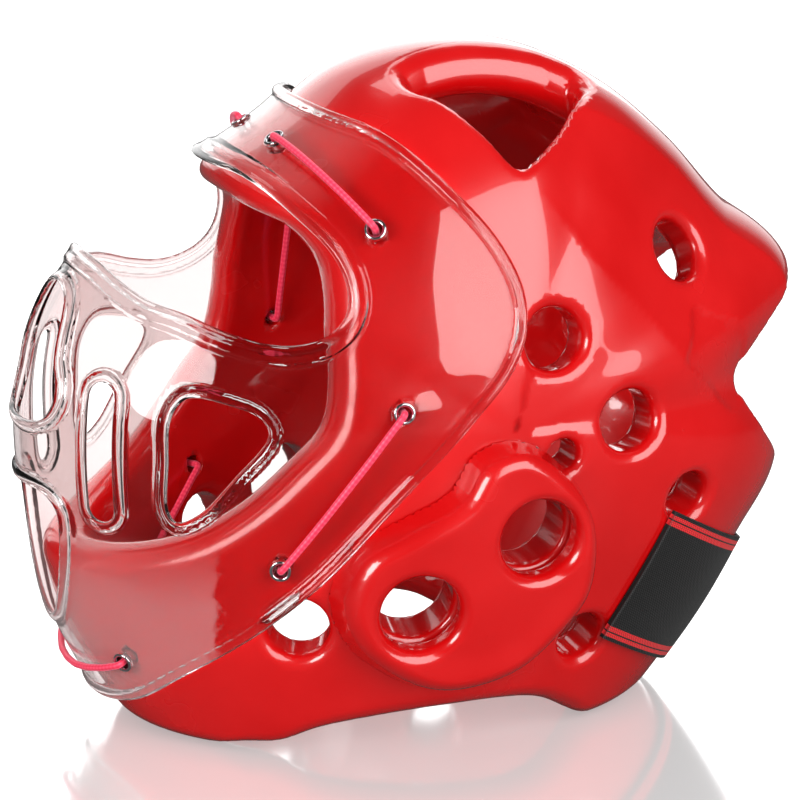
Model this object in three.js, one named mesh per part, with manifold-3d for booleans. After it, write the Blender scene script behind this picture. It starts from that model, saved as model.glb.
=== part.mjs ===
// Taekwondo headgear: a padded foam head guard with a clear face mask laced to it.
// Millimetres. +Z is up, the face looks along -Y and the wearer's left is +X.
// The guard leans back as it does when it stands on its chin guard and its two nape lobes.
import * as THREE from "three";
import { mergeVertices } from "three/addons/utils/BufferGeometryUtils.js";
import Module from "manifold-3d";

const wasm = await Module();
wasm.setup();

// Foam guard
const halfLength = 140;
const halfWidth = 87;
const foamWall = 18;
const restDepth = 115;
const ventBore = 21;
const lowVentBore = 17;
const smallVentBore = 11;
const napeSlit = 14;
const napeSlitTop = -35;
const crownCutFoot = 47;
const crownStripWidth = 46;

// Ear pads
const earPadRise = 13;
const earPadBevel = 4;
const earHoleBore = 27;
const seatGap = 0.4;

// Face mask
const maskStandOff = 3;
const maskSheet = 2.2;
const slotWidth = 11;
const slotHeight = 48;

// Lace and its eyelets
const laceBore = 2.8;
const eyeletHole = 6;
const eyeletSeat = 1;
const eyeletFlange = 8;
const eyeletLip = 0.8;
const eyeletBore = 4;
const laceRide = 1;

// Closure strap
const strapWidth = 50;
const strapThickness = 1.8;

// Facets
const ringSteps = 30;
const sideSteps = 14;
const curveSteps = 2;
const roundSides = 12;
const smallSides = 8;
const laceRun = 3;

const red = "#e3191c";
const materials = {
  foam: new THREE.MeshStandardMaterial({ color: red, roughness: 0.18, metalness: 0 }),
  clear: new THREE.MeshStandardMaterial({ color: "#e6dfdf", roughness: 0.05, metalness: 0 }),
  elastic: new THREE.MeshStandardMaterial({ color: "#e8305a", roughness: 0.7, metalness: 0 }),
  webbing: new THREE.MeshStandardMaterial({ color: "#202020", roughness: 0.9, metalness: 0 }),
  chrome: new THREE.MeshStandardMaterial({ color: "#d5d5d8", roughness: 0.15, metalness: 1 }),
};

// The head form. Each row is a direction from the form's centre in the middle plane, every 15
// degrees from straight forward, up over the brow and down the back. reach is a share of
// halfLength. square is the power of the section across: 2 is an ellipse, more is squarer.
const formRows = [
  { reach: 1.022, square: 1.9 },
  { reach: 0.972, square: 1.85 },
  { reach: 0.885, square: 1.88 },
  { reach: 0.787, square: 2.07 },
  { reach: 0.757, square: 2.17 },
  { reach: 0.811, square: 2.1 },
  { reach: 0.839, square: 2.2 },
  { reach: 0.85, square: 2.3 },
  { reach: 0.846, square: 2.35 },
  { reach: 0.839, square: 2.4 },
  { reach: 0.864, square: 2.4 },
  { reach: 0.971, square: 2.4 },
  { reach: 0.857, square: 2.4 },
  { reach: 0.936, square: 2.4 },
  { reach: 0.914, square: 2.4 },
  { reach: 0.936, square: 2.4 },
  { reach: 1.007, square: 2.3 },
  { reach: 1.129, square: 2.2 },
  { reach: 1.229, square: 2.15 },
  { reach: 1.257, square: 2.1 },
  { reach: 1.229, square: 2.1 },
  { reach: 1.135, square: 2.08 },
  { reach: 1.09, square: 1.9 },
  { reach: 1.045, square: 1.91 },
];

// Outlines in the middle plane, seen from the side. forward and up are shares of halfLength
// from the form's centre.
const faceOpening = [
  { forward: 1.3, up: 0.95 },
  { forward: 0.72, up: 0.78 },
  { forward: 0.59, up: 0.6 },
  { forward: 0.54, up: 0.505 },
  { forward: 0.447, up: 0.455 },
  { forward: 0.406, up: 0.395 },
  { forward: 0.402, up: 0.31 },
  { forward: 0.412, up: 0.22 },
  { forward: 0.412, up: 0.136 },
  { forward: 0.435, up: 0.019 },
  { forward: 0.504, up: -0.065 },
  { forward: 0.612, up: -0.178 },
  { forward: 0.721, up: -0.258 },
  { forward: 0.858, up: -0.312 },
  { forward: 0.98, up: -0.335 },
  { forward: 1.3, up: -0.36 },
];
const neckArch = [
  { forward: 0.64, up: -0.92 },
  { forward: 0.6, up: -0.826 },
  { forward: 0.52, up: -0.806 },
  { forward: 0.43, up: -0.76 },
  { forward: 0.3, up: -0.732 },
  { forward: 0.13, up: -0.716 },
  { forward: -0.03, up: -0.714 },
  { forward: -0.12, up: -0.73 },
  { forward: -0.19, up: -0.768 },
  { forward: -0.24, up: -0.81 },
  { forward: -0.27, up: -0.92 },
];
const maskRim = [
  { forward: 0.5, up: 0.86 },
  { forward: 0.371, up: 0.735 },
  { forward: 0.239, up: 0.683 },
  { forward: 0.123, up: 0.573 },
  { forward: 0.03, up: 0.452 },
  { forward: -0.017, up: 0.338 },
  { forward: -0.017, up: 0.246 },
  { forward: 0.019, up: 0.155 },
  { forward: 0.104, up: 0.053 },
  { forward: 0.29, up: -0.146 },
  { forward: 0.464, up: -0.346 },
  { forward: 0.59, up: -0.468 },
  { forward: 0.751, up: -0.61 },
  { forward: 0.845, up: -0.715 },
  { forward: 0.92, up: -0.748 },
  { forward: 1.0, up: -0.752 },
  { forward: 1.5, up: -0.76 },
  { forward: 1.5, up: 0.8 },
];
const eyeOpening = [
  { forward: 0.9, up: 0.75 },
  { forward: 0.615, up: 0.588 },
  { forward: 0.535, up: 0.568 },
  { forward: 0.462, up: 0.5 },
  { forward: 0.402, up: 0.425 },
  { forward: 0.382, up: 0.36 },
  { forward: 0.388, up: 0.3 },
  { forward: 0.415, up: 0.26 },
  { forward: 0.465, up: 0.232 },
  { forward: 0.545, up: 0.222 },
  { forward: 0.642, up: 0.245 },
  { forward: 0.735, up: 0.284 },
  { forward: 0.8, up: 0.305 },
  { forward: 0.84, up: 0.335 },
  { forward: 0.89, up: 0.385 },
  { forward: 1.2, up: 0.5 },
];
const cheekSlot = [
  { forward: 0.747, up: 0.1 },
  { forward: 0.785, up: 0.052 },
  { forward: 0.795, up: -0.06 },
  { forward: 0.795, up: -0.175 },
  { forward: 0.775, up: -0.205 },
  { forward: 0.729, up: -0.18 },
  { forward: 0.656, up: -0.087 },
  { forward: 0.58, up: 0.02 },
  { forward: 0.598, up: 0.06 },
  { forward: 0.668, up: 0.09 },
];
const earPadOutline = [
  { forward: 0.436, up: -0.388 },
  { forward: 0.387, up: -0.265 },
  { forward: 0.294, up: -0.209 },
  { forward: 0.162, up: -0.137 },
  { forward: 0.105, up: -0.052 },
  { forward: 0.003, up: -0.026 },
  { forward: -0.111, up: -0.099 },
  { forward: -0.193, up: -0.235 },
  { forward: -0.193, up: -0.411 },
  { forward: -0.128, up: -0.506 },
  { forward: -0.017, up: -0.602 },
  { forward: 0.121, up: -0.641 },
  { forward: 0.215, up: -0.632 },
  { forward: 0.315, up: -0.58 },
  { forward: 0.4, up: -0.5 },
];

// Outlines seen from the front or from above. across is a share of halfWidth on the wearer's
// left, and the other half mirrors it. along is a share of halfLength.
const upperSlot = [
  { across: 0, along: 0.305 },
  { across: 0.125, along: 0.283 },
  { across: 0.17, along: 0.245 },
  { across: 0.195, along: 0.2 },
  { across: 0.225, along: 0.14 },
  { across: 0.265, along: 0.09 },
  { across: 0.27, along: 0.045 },
  { across: 0.22, along: 0.0 },
  { across: 0, along: -0.02 },
];
const lowerSlot = [
  { across: 0, along: -0.18 },
  { across: 0.22, along: -0.185 },
  { across: 0.275, along: -0.215 },
  { across: 0.28, along: -0.26 },
  { across: 0.24, along: -0.36 },
  { across: 0.16, along: -0.46 },
  { across: 0.08, along: -0.515 },
  { across: 0, along: -0.53 },
];
const rearOpening = [
  { across: 0, along: 0.24 },
  { across: 0.35, along: 0.235 },
  { across: 0.5, along: 0.19 },
  { across: 0.6, along: 0.07 },
  { across: 0.62, along: -0.03 },
  { across: 0.58, along: -0.13 },
  { across: 0.46, along: -0.2 },
  { across: 0.3, along: -0.235 },
  { across: 0, along: -0.25 },
];
// Seen from above: across is a share of the run from the crown strip's edge to halfWidth.
const crownOpening = [
  { across: 0.0, along: 0.11 },
  { across: 0.3, along: 0.07 },
  { across: 0.56, along: 0.005 },
  { across: 0.68, along: -0.047 },
  { across: 0.62, along: -0.12 },
  { across: 0.44, along: -0.225 },
  { across: 0.2, along: -0.32 },
  { across: 0.0, along: -0.35 },
];

// Places on the form, as directions from its centre: forward and up are shares of halfLength,
// across is a share of halfWidth on the wearer's left. Each is mirrored on the right.
const vents = [
  { forward: -0.507, across: 0.74, up: 0.377, bore: ventBore },
  { forward: -0.109, across: 0.98, up: 0.209, bore: ventBore },
  { forward: -0.309, across: 0.96, up: -0.013, bore: ventBore },
  { forward: -0.126, across: 0.99, up: -0.075, bore: smallVentBore },
  { forward: -0.487, across: 0.86, up: -0.236, bore: lowVentBore },
  { forward: -0.207, across: 0.84, up: -0.552, bore: lowVentBore },
  { forward: 0.483, across: 0.76, up: -0.456, bore: ventBore },
];
const earHoles = [
  { forward: 0.233, across: 0.91, up: -0.401 },
  { forward: -0.038, across: 0.98, up: -0.247 },
];
const ovalSlot = { forward: 0.918, across: 0.445, up: -0.055 };
const laceStations = [
  { name: "brow", forward: 0.453, across: 0.22, up: 0.664 },
  { name: "temple", forward: 0.294, across: 0.74, up: 0.469 },
  { name: "cheek", forward: 0.28, across: 0.97, up: 0.065 },
  { name: "jaw", forward: 0.546, across: 0.8, up: -0.314 },
  { name: "chin", forward: 0.867, across: 0.36, up: -0.607 },
];

// The strap's front end, seen from the side, and how far its run falls from level.
const strapEnd = { forward: -0.349, up: -0.412, tilt: 30 };

// A point of the middle plane's side view in millimetres.
function sideView(row) {
  return new THREE.Vector2(row.forward * halfLength, row.up * halfLength);
}

// The form's row at any direction, in degrees, by a smooth closed curve through the table.
function formRow(pitch) {
  const step = 360 / formRows.length;
  const place = (((pitch / step) % formRows.length) + formRows.length) % formRows.length;
  const first = Math.floor(place);
  const share = place - first;
  const near = [-1, 0, 1, 2].map((k) => formRows[(first + k + formRows.length) % formRows.length]);
  const smooth = (column) => {
    const [a, b, c, d] = near.map((row) => row[column]);
    const bend = 2 * a - 5 * b + 4 * c - d + share * (3 * (b - c) + d - a);
    return b + 0.5 * share * (c - a + share * bend);
  };
  return { reach: smooth("reach") * halfLength, square: smooth("square") };
}

// A point of the form grown by offset. side runs from -90 at the right to 90 at the left.
function formPoint(pitch, side, offset) {
  const { reach, square } = formRow(pitch);
  const power = 2 / square;
  const turn = THREE.MathUtils.degToRad(side);
  const across = Math.sign(turn) * Math.pow(Math.abs(Math.sin(turn)), power);
  const out = (reach + offset) * Math.pow(Math.abs(Math.cos(turn)), power);
  const angle = THREE.MathUtils.degToRad(pitch);
  return new THREE.Vector3(across * (halfWidth + offset), -out * Math.cos(angle), out * Math.sin(angle));
}

// How far a point lies outside the form: a smooth value that is 1 on its surface.
function formLevel(point, offset) {
  const out = Math.hypot(point.y, point.z);
  const pitch = THREE.MathUtils.radToDeg(Math.atan2(point.z, -point.y));
  const { reach, square } = formRow(pitch);
  const along = Math.pow(out / (reach + offset), square);
  const across = Math.pow(Math.abs(point.x) / (halfWidth + offset), square);
  return Math.pow(along + across, 1 / square);
}

// The point where a direction from the form's centre meets the form grown by offset.
function pointOnForm(row, offset) {
  const aim = new THREE.Vector3(row.across * halfWidth, -row.forward * halfLength, row.up * halfLength);
  return aim.multiplyScalar(1 / formLevel(aim, offset));
}

// The form's outward direction at a point.
function formNormal(point) {
  const probe = 0.5;
  const rise = (axis) => {
    const step = new THREE.Vector3().setComponent(axis, probe);
    return formLevel(point.clone().add(step), 0) - formLevel(point.clone().sub(step), 0);
  };
  return new THREE.Vector3(rise(0), rise(1), rise(2)).normalize();
}

// A geometry as a closed solid with shared corners.
function toSolid(geometry) {
  const bare = new THREE.BufferGeometry();
  bare.setAttribute("position", geometry.getAttribute("position").clone());
  if (geometry.index) bare.setIndex(geometry.index.clone());
  const merged = mergeVertices(bare, 1e-4);
  const corners = merged.index.array;
  const kept = [];
  for (let i = 0; i < corners.length; i += 3) {
    const [a, b, c] = corners.slice(i, i + 3);
    if (a !== b && b !== c && c !== a) kept.push(a, b, c);
  }
  const vertProperties = merged.attributes.position.array;
  const triVerts = new Uint32Array(kept);
  return new wasm.Manifold(new wasm.Mesh({ numProp: 3, vertProperties, triVerts }));
}

// A solid as a mesh of the model.
function toMesh(name, solid, material) {
  const mesh = solid.getMesh();
  const geometry = new THREE.BufferGeometry();
  geometry.setAttribute("position", new THREE.BufferAttribute(mesh.vertProperties.slice(), 3));
  geometry.setIndex(new THREE.BufferAttribute(mesh.triVerts.slice(), 1));
  geometry.computeVertexNormals();
  const made = new THREE.Mesh(geometry, material);
  made.name = name;
  return made;
}

// A closed body through rings of as many points each, closed on a tip at either end.
// Seen from the last tip the rings run anticlockwise.
function ringBody(rings, firstTip, lastTip) {
  const count = rings[0].length;
  const corners = [...rings.flat(), firstTip, lastTip];
  const tip = rings.length * count;
  const at = (ring, k) => ring * count + (k % count);
  const indices = [];
  for (let k = 0; k < count; k++) {
    for (let ring = 0; ring < rings.length - 1; ring++) {
      indices.push(at(ring, k), at(ring, k + 1), at(ring + 1, k));
      indices.push(at(ring, k + 1), at(ring + 1, k + 1), at(ring + 1, k));
    }
    indices.push(tip, at(0, k + 1), at(0, k));
    indices.push(tip + 1, at(rings.length - 1, k), at(rings.length - 1, k + 1));
  }
  const geometry = new THREE.BufferGeometry().setFromPoints(corners);
  geometry.setIndex(indices);
  return toSolid(geometry);
}

// The whole form grown by offset, in rings from the right side to the left.
function formSolid(offset) {
  const rings = [];
  for (let s = 1; s < sideSteps; s++) {
    const side = -90 + (180 * s) / sideSteps;
    const turns = Array.from({ length: ringSteps }, (_, r) => (-360 * r) / ringSteps);
    rings.push(turns.map((pitch) => formPoint(pitch, side, offset)));
  }
  const tip = halfWidth + offset;
  return ringBody(rings, new THREE.Vector3(-tip, 0, 0), new THREE.Vector3(tip, 0, 0));
}

// A smooth closed outline through points of a plane.
function smoothOutline(points) {
  const curve = new THREE.CatmullRomCurve3(
    points.map((p) => new THREE.Vector3(p.x, p.y, 0)),
    true,
    "centripetal",
  );
  const drawn = curve.getPoints(points.length * curveSteps);
  drawn.pop();
  return new THREE.Shape(drawn.map((p) => new THREE.Vector2(p.x, p.y)));
}

// An outline drawn on the plane of two directions and run along the third, as a solid.
function prism(shape, right, up, from, to) {
  const geometry = new THREE.ExtrudeGeometry(shape, { depth: to - from, bevelEnabled: false });
  const out = new THREE.Vector3().crossVectors(right, up);
  geometry.translate(0, 0, from);
  geometry.applyMatrix4(new THREE.Matrix4().makeBasis(right, up, out));
  return toSolid(geometry);
}

const leftward = new THREE.Vector3(1, 0, 0);
const forward = new THREE.Vector3(0, -1, 0);
const rearward = new THREE.Vector3(0, 1, 0);
const upward = new THREE.Vector3(0, 0, 1);
const beyond = 3 * halfLength;

// A side-view outline run across the form from one distance right of the middle to another.
function sidePrism(shape, from, to) {
  return prism(shape, forward, upward, from, to);
}

// A half outline mirrored in the middle plane.
function mirroredOutline(rows, widthShare) {
  const left = rows.map((row) => new THREE.Vector2(row.across * widthShare, row.along * halfLength));
  const right = left.slice(1, -1).map((p) => new THREE.Vector2(-p.x, p.y));
  return smoothOutline([...left, ...right.reverse()]);
}

// A geometry turned and moved so that its own axis leaves the form at a place on it.
function placedOnForm(geometry, row, offset) {
  const point = pointOnForm(row, offset);
  const out = formNormal(point);
  const across = new THREE.Vector3().crossVectors(upward, out).normalize();
  const along = new THREE.Vector3().crossVectors(out, across);
  const place = new THREE.Matrix4().makeBasis(across, along, out).setPosition(point);
  return geometry.clone().applyMatrix4(place);
}

// A round rod along the form's outward direction at a place on it.
function rodOnForm(row, bore, inward, outward) {
  const sides = bore > eyeletFlange ? roundSides : smallSides;
  const rod = new THREE.CylinderGeometry(bore / 2, bore / 2, inward + outward, sides);
  rod.rotateX(Math.PI / 2);
  rod.translate(0, 0, (outward - inward) / 2);
  return toSolid(placedOnForm(rod, row, 0));
}

// The other side's copy of a solid.
function mirrored(solid) {
  return solid.mirror([1, 0, 0]);
}

// A solid with each of a list cut away, on both sides of the middle plane.
function cutOnBothSides(solid, cutters) {
  return cutters.reduce((left, cutter) => left.subtract(cutter).subtract(mirrored(cutter)), solid);
}

// A flat block below a height, as wide and long as needed.
function below(height) {
  const square = new THREE.Shape([
    new THREE.Vector2(-beyond, -beyond),
    new THREE.Vector2(beyond, -beyond),
    new THREE.Vector2(beyond, height),
    new THREE.Vector2(-beyond, height),
  ]);
  return sidePrism(square, -beyond, beyond);
}

const outerForm = formSolid(0);
const through = 2 * foamWall;

// The foam guard: one thick wall round the head, with all its openings cut through.
function makeShell() {
  const hollow = formSolid(-foamWall);
  let solid = outerForm.subtract(hollow);
  const face = smoothOutline(faceOpening.map(sideView));
  solid = solid.subtract(sidePrism(face, -beyond, beyond));
  solid = solid.subtract(sidePrism(smoothOutline(neckArch.map(sideView)), -beyond, beyond));
  solid = solid.subtract(below(-restDepth));
  const rear = mirroredOutline(rearOpening, halfWidth);
  solid = solid.subtract(prism(rear, leftward, upward, -beyond, 0));
  const slit = new THREE.Shape([
    new THREE.Vector2(-napeSlit / 2, -beyond),
    new THREE.Vector2(napeSlit / 2, -beyond),
    new THREE.Vector2(napeSlit / 2, napeSlitTop),
    new THREE.Vector2(-napeSlit / 2, napeSlitTop),
  ]);
  solid = solid.subtract(prism(slit, leftward, upward, -beyond, 0));
  const stripEdge = crownStripWidth / 2;
  const crown = smoothOutline(
    crownOpening.map((row) => {
      const across = stripEdge + row.across * (halfWidth - stripEdge);
      return new THREE.Vector2(across, -row.along * halfLength);
    }),
  );
  const crownCut = prism(crown, leftward, rearward, crownCutFoot, beyond);
  const rods = vents.map((vent) => rodOnForm(vent, vent.bore, through, foamWall));
  const earRods = earHoles.map((row) => rodOnForm(row, earHoleBore, through, through));
  const laceRods = laceStations.map((row) => rodOnForm(row, eyeletHole, through, foamWall));
  return cutOnBothSides(solid, [crownCut, ...rods, ...earRods, ...laceRods]);
}

// A side-view outline drawn in by a distance.
function drawnIn(points, distance) {
  return points.map((p, i) => {
    const before = points[(i + points.length - 1) % points.length];
    const after = points[(i + 1) % points.length];
    const along = new THREE.Vector2().subVectors(after, before).normalize();
    return new THREE.Vector2(p.x + along.y * distance, p.y - along.x * distance);
  });
}

// The left ear pad: a raised piece that follows the form, stepped in at its bevelled edge.
function makeEarPad() {
  const outline = earPadOutline.map(sideView);
  const foot = formSolid(earPadRise - earPadBevel);
  const top = formSolid(earPadRise);
  const wide = sidePrism(smoothOutline(outline), -beyond, 0);
  const narrow = sidePrism(smoothOutline(drawnIn(outline, -earPadBevel)), -beyond, 0);
  const raised = foot.intersect(wide).add(top.intersect(narrow));
  const pad = raised.subtract(formSolid(seatGap));
  const rods = earHoles.map((row) => rodOnForm(row, earHoleBore, through, through));
  return rods.reduce((left, rod) => left.subtract(rod), pad);
}

// The clear mask: a thin sheet over the front of the form, with the eye opening and the slots.
function makeMask() {
  const sheet = formSolid(maskStandOff + maskSheet).subtract(formSolid(maskStandOff));
  let solid = sheet.intersect(sidePrism(smoothOutline(maskRim.map(sideView)), -beyond, beyond));
  solid = solid.subtract(sidePrism(smoothOutline(eyeOpening.map(sideView)), -beyond, beyond));
  for (const rows of [upperSlot, lowerSlot])
    solid = solid.subtract(prism(mirroredOutline(rows, halfWidth), leftward, upward, 0, beyond));
  const cheek = sidePrism(smoothOutline(cheekSlot.map(sideView)), -beyond, 0);
  const capsule = new THREE.Shape();
  const straight = (slotHeight - slotWidth) / 2;
  capsule.absarc(0, straight, slotWidth / 2, 0, Math.PI, false);
  capsule.absarc(0, -straight, slotWidth / 2, Math.PI, 2 * Math.PI, false);
  const oval = new THREE.ExtrudeGeometry(capsule, {
    depth: 2 * foamWall,
    bevelEnabled: false,
    curveSegments: smallSides,
  });
  oval.translate(0, 0, -foamWall);
  const ovalCut = toSolid(placedOnForm(oval, ovalSlot, 0));
  const holes = laceStations.map((row) => rodOnForm(row, eyeletHole, foamWall, foamWall));
  return cutOnBothSides(solid, [cheek, ovalCut, ...holes]);
}

// The left ferrule of one lace station: a flange on the mask and a barrel through its hole,
// down into the foam's hole.
function makeEyelet(row) {
  const flangeFoot = maskStandOff + maskSheet + seatGap;
  const barrelEnd = -eyeletSeat;
  const bore = eyeletBore / 2;
  const barrel = eyeletHole / 2 - seatGap;
  const profile = [
    new THREE.Vector2(bore, barrelEnd),
    new THREE.Vector2(barrel, barrelEnd),
    new THREE.Vector2(barrel, flangeFoot),
    new THREE.Vector2(eyeletFlange / 2, flangeFoot),
    new THREE.Vector2(bore, flangeFoot + eyeletLip),
    new THREE.Vector2(bore, barrelEnd),
  ];
  const lathe = new THREE.LatheGeometry(profile, smallSides);
  lathe.rotateX(Math.PI / 2);
  return toSolid(placedOnForm(lathe, row, 0));
}

// The strap: a band that follows the nape between two parallel planes, over the slit.
function makeStrap() {
  const tilt = THREE.MathUtils.degToRad(strapEnd.tilt);
  const runway = new THREE.Vector2(-Math.cos(tilt), -Math.sin(tilt));
  const widthway = new THREE.Vector2(-runway.y, runway.x);
  const centre = sideView(strapEnd);
  const at = (run, width) =>
    centre.clone().addScaledVector(runway, run).addScaledVector(widthway, width);
  const half = strapWidth / 2;
  const band = new THREE.Shape([at(0, -half), at(0, half), at(beyond, half), at(beyond, -half)]);
  const sheet = formSolid(seatGap + strapThickness).subtract(formSolid(seatGap));
  return sheet.intersect(sidePrism(band, -beyond, beyond));
}

// The lace's whole route: over the mask between stations, through mask and foam, and back
// inside the foam. It starts and ends at the middle of the brow, inside.
function laceRoute() {
  const over = maskStandOff + maskSheet + seatGap + eyeletLip + laceRide + laceBore / 2;
  const under = -(foamWall + laceRide + laceBore / 2);
  const at = (row, offset) => {
    const start = pointOnForm(row, 0);
    return start.clone().addScaledVector(formNormal(start), offset);
  };
  const runOver = (a, b) => {
    const points = [];
    for (let k = 0; k <= laceRun; k++) {
      const mix = (column) => a[column] + ((b[column] - a[column]) * k) / laceRun;
      points.push(at({ forward: mix("forward"), across: mix("across"), up: mix("up") }, over));
    }
    return points;
  };
  const [brow, temple, cheek, jaw, chin] = laceStations;
  const chinMiddle = { ...chin, across: 0 };
  const left = [
    new THREE.Vector3(seatGap / 2, at(brow, under).y, at(brow, under).z),
    at(brow, under),
    ...runOver(brow, temple),
    at(temple, under),
    at(cheek, under),
    ...runOver(cheek, jaw),
    at(jaw, under),
    at(chin, under),
    ...runOver(chin, chinMiddle),
  ];
  const right = left.slice(0, -1).map((p) => new THREE.Vector3(-p.x, p.y, p.z));
  return [...left, ...right.reverse()];
}

// A round tube along a route, with a ring at each of its points in the plane that halves the bend.
function makeLace() {
  const route = laceRoute();
  const heading = (k) => new THREE.Vector3().subVectors(route[k + 1], route[k]).normalize();
  const last = route.length - 1;
  let across = new THREE.Vector3().crossVectors(heading(0), upward).normalize();
  const rings = route.map((point, k) => {
    const before = heading(Math.max(0, k - 1));
    const after = heading(Math.min(last - 1, k));
    const along = new THREE.Vector3().addVectors(before, after).normalize();
    const stretch = 1 / along.dot(before);
    const bend = new THREE.Vector3().subVectors(after, before).projectOnPlane(along).normalize();
    across.projectOnPlane(before).normalize();
    const up = new THREE.Vector3().crossVectors(before, across);
    const ring = [];
    for (let n = 0; n < smallSides; n++) {
      const turn = (2 * Math.PI * n) / smallSides;
      const spoke = across.clone().multiplyScalar(Math.cos(turn)).addScaledVector(up, Math.sin(turn));
      spoke.projectOnPlane(along).normalize().multiplyScalar(laceBore / 2);
      spoke.addScaledVector(bend, (stretch - 1) * spoke.dot(bend));
      ring.push(point.clone().add(spoke));
    }
    return ring;
  });
  return ringBody(rings, route[0], route[last]);
}

const model = new THREE.Group();
model.add(toMesh("shell", makeShell(), materials.foam));
const earPad = makeEarPad();
model.add(toMesh("ear_pad_left", earPad, materials.foam));
model.add(toMesh("ear_pad_right", mirrored(earPad), materials.foam));
model.add(toMesh("face_mask", makeMask(), materials.clear));
for (const row of laceStations) {
  const eyelet = makeEyelet(row);
  model.add(toMesh(`eyelet_${row.name}_left`, eyelet, materials.chrome));
  model.add(toMesh(`eyelet_${row.name}_right`, mirrored(eyelet), materials.chrome));
}
model.add(toMesh("lace", makeLace(), materials.elastic));
model.add(toMesh("closure_strap", makeStrap(), materials.webbing));

// The part's origin is the middle of what it stands on.
const extent = new THREE.Box3().setFromObject(model);
const middle = extent.getCenter(new THREE.Vector3());
model.position.set(-middle.x, -middle.y, -extent.min.z);

const part = new THREE.Group();
part.add(model);

export default part;
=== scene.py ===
# %% [markdown]
# # Taekwondo headgear: a dipped foam guard with a clear face mask laced to it
#
# The guard is one soft foam moulding that was dipped in glossy red vinyl. A thin clear mask
# wraps its front and is held by one elastic lace that passes in and out through ten metal
# ferrules. A woven elastic strap closes the split at the nape.
#
# The solid model of the same part is loaded first. It fixes the size and place of each piece,
# and this lesson dresses it: each visible piece is worked out with numpy on the same head form.

import math

import bpy
import numpy as np
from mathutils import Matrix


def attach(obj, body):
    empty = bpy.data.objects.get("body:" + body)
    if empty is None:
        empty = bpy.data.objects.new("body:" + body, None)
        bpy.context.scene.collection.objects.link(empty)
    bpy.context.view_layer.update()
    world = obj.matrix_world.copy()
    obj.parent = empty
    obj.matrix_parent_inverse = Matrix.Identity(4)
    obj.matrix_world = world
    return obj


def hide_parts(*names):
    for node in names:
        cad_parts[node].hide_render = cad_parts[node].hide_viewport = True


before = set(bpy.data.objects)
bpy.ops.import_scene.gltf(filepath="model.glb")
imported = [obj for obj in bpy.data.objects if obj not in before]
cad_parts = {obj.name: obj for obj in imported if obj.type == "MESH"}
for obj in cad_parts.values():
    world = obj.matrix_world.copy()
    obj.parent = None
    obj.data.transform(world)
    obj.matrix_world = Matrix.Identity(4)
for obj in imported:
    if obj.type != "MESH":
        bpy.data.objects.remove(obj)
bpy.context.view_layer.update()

# %% [markdown]
# ## The camera
#
# The photograph was taken with a long lens, a little above the guard and from its left front.
# The camera comes first, so that every later piece can be judged through it. A long lens far
# away keeps the front and the back of the guard at nearly the same scale.

# %% Camera
MM = 0.001


def unit(v):
    """A vector, or each row of an array of vectors, brought to length 1."""
    return v / np.linalg.norm(v, axis=-1, keepdims=True)


def look_from(azimuth, elevation, distance, target):
    """A point at that distance from the target: azimuth 0 looks along +Y, elevation is upward."""
    turn, rise = math.radians(azimuth), math.radians(elevation)
    away = np.array([math.sin(turn) * math.cos(rise), -math.cos(turn) * math.cos(rise), math.sin(rise)])
    return np.asarray(target) + distance * away


CAMERA_AZIMUTH, CAMERA_ELEVATION, CAMERA_DISTANCE = 70.0, 15.0, 1.25
target = np.array([0.0, 0.0009, 0.1046])
camera_place = look_from(CAMERA_AZIMUTH, CAMERA_ELEVATION, CAMERA_DISTANCE, target)
lens = bpy.data.cameras.new("camera")
lens.lens = 159.75
lens.sensor_width = 36.0
lens.clip_start = 0.05
camera = bpy.data.objects.new("camera", lens)
camera.location = camera_place.tolist()
bpy.context.scene.collection.objects.link(camera)


def face_point(thing, point):
    """Turns a camera or a lamp so that its -Z axis points at the point and its Y axis is up."""
    back = unit(np.asarray(thing.location) - np.asarray(point))
    right = unit(np.cross((0.0, 0.0, 1.0), back))
    up = np.cross(back, right)
    pitch = math.asin(max(-1.0, min(1.0, up[2])))
    thing.rotation_euler = (pitch, 0.0, math.atan2(right[1], right[0]))
    if back[2] < 0:
        thing.rotation_euler[0] = math.pi - pitch


face_point(camera, target)
bpy.context.scene.camera = camera
print("camera at", np.round(camera_place, 3).tolist())

# %% [markdown]
# ## The head form
#
# Everything follows one form: a rounded head, drawn in the middle plane by its reach from a
# centre in every direction, and squarer or rounder across. A level function is a handy way to
# hold such a form: it is 1 on the surface, less inside and more outside, so a wall, a raised pad
# or a sheet that stands off is only a matter of how far a point lies from the surface.

# %% The form's tables
FORM_CENTRE = np.array([0.0, 10.17, 115.0])
HALF_LENGTH = 140.0
HALF_WIDTH = 87.0
FOAM_WALL = 18.0

reach_share = [
    1.022, 0.972, 0.885, 0.787, 0.757, 0.811, 0.839, 0.85, 0.846, 0.839, 0.864, 0.971,
    0.857, 0.936, 0.914, 0.936, 1.007, 1.129, 1.229, 1.257, 1.229, 1.135, 1.09, 1.045,
]
squareness = [
    1.9, 1.85, 1.88, 2.07, 2.17, 2.1, 2.2, 2.3, 2.35, 2.4, 2.4, 2.4,
    2.4, 2.4, 2.4, 2.4, 2.3, 2.2, 2.15, 2.1, 2.1, 2.08, 1.9, 1.91,
]
REACH = np.array(reach_share) * HALF_LENGTH
SQUARE = np.array(squareness)


def closed_table(table, place):
    """A closed Catmull-Rom curve through a table, read at a fractional row number."""
    count = len(table)
    first = np.floor(place).astype(int)
    share = place - first
    a, b, c, d = (table[(first + k) % count] for k in (-1, 0, 1, 2))
    bend = 2 * a - 5 * b + 4 * c - d + share * (3 * (b - c) + d - a)
    return b + 0.5 * share * (c - a + share * bend)


def side_view(p):
    """Forward and up distances of points from the form's centre."""
    q = p - FORM_CENTRE
    return -q[:, 1], q[:, 2]


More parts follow.
